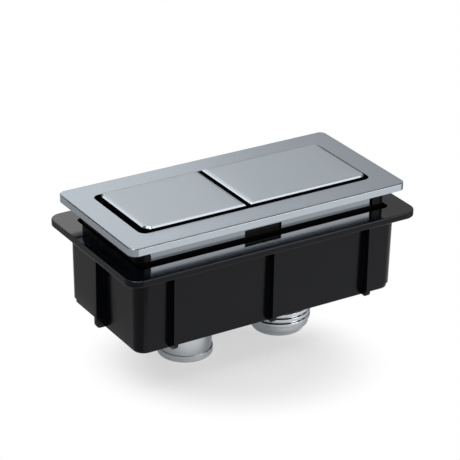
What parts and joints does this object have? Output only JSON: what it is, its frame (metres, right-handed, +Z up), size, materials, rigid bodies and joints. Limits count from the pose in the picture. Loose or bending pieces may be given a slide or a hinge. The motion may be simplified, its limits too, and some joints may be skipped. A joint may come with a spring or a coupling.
{
  "type": "flush button plate",
  "caption": "Rectangular cistern flush plate: a short and a long sprung push button in a satin chrome frame, on a black flanged box with bright plungers below.",
  "frame": {"origin": "centre of the box's mouth on the flange's upper face, where the lid bears", "axes": "+X along the plate towards the long button, +Y to the back, +Z up out of the lid"},
  "size_m": [0.1156, 0.0606, 0.0604],
  "materials": {
    "black_gloss": "moulded gloss",
    "black_satin": "moulded satin",
    "satin_chrome": "satin plated",
    "bright_chrome": "bright plated",
    "frosted_silver": "satin plated",
    "zinc_steel": "zinc plated",
    "spring_steel": "drawn wire"
  },
  "bodies": {
    "base": {"housing": "black_gloss", "button_carrier": "black_satin", "trim_frame": "satin_chrome", "frame_screws": "zinc_steel", "carrier_screws": "zinc_steel", "half_return_spring": "spring_steel", "full_return_spring": "spring_steel"},
    "half_flush": {"half_flush_button": "satin_chrome", "half_slider": "black_satin", "half_stud": "zinc_steel", "half_lock_nut": "zinc_steel", "half_plunger": "bright_chrome", "half_plunger_foot": "frosted_silver"},
    "full_flush": {"full_flush_button": "satin_chrome", "full_slider": "black_satin", "full_stud": "zinc_steel", "full_lock_nut": "zinc_steel", "full_plunger": "bright_chrome", "full_plunger_foot": "bright_chrome", "full_plunger_collar": "bright_chrome"}
  },
  "joints": [
    {"name": "half_flush_press", "type": "slide", "parent": "base", "child": "half_flush", "axis": [0, 0, -1], "range_m": [0, 0.006], "stiffness_N_per_m": 400, "springref_m": -0.008, "deforming": ["half_return_spring"]},
    {"name": "full_flush_press", "type": "slide", "parent": "base", "child": "full_flush", "axis": [0, 0, -1], "range_m": [0, 0.006], "stiffness_N_per_m": 400, "springref_m": -0.008, "deforming": ["full_return_spring"]}
  ]
}
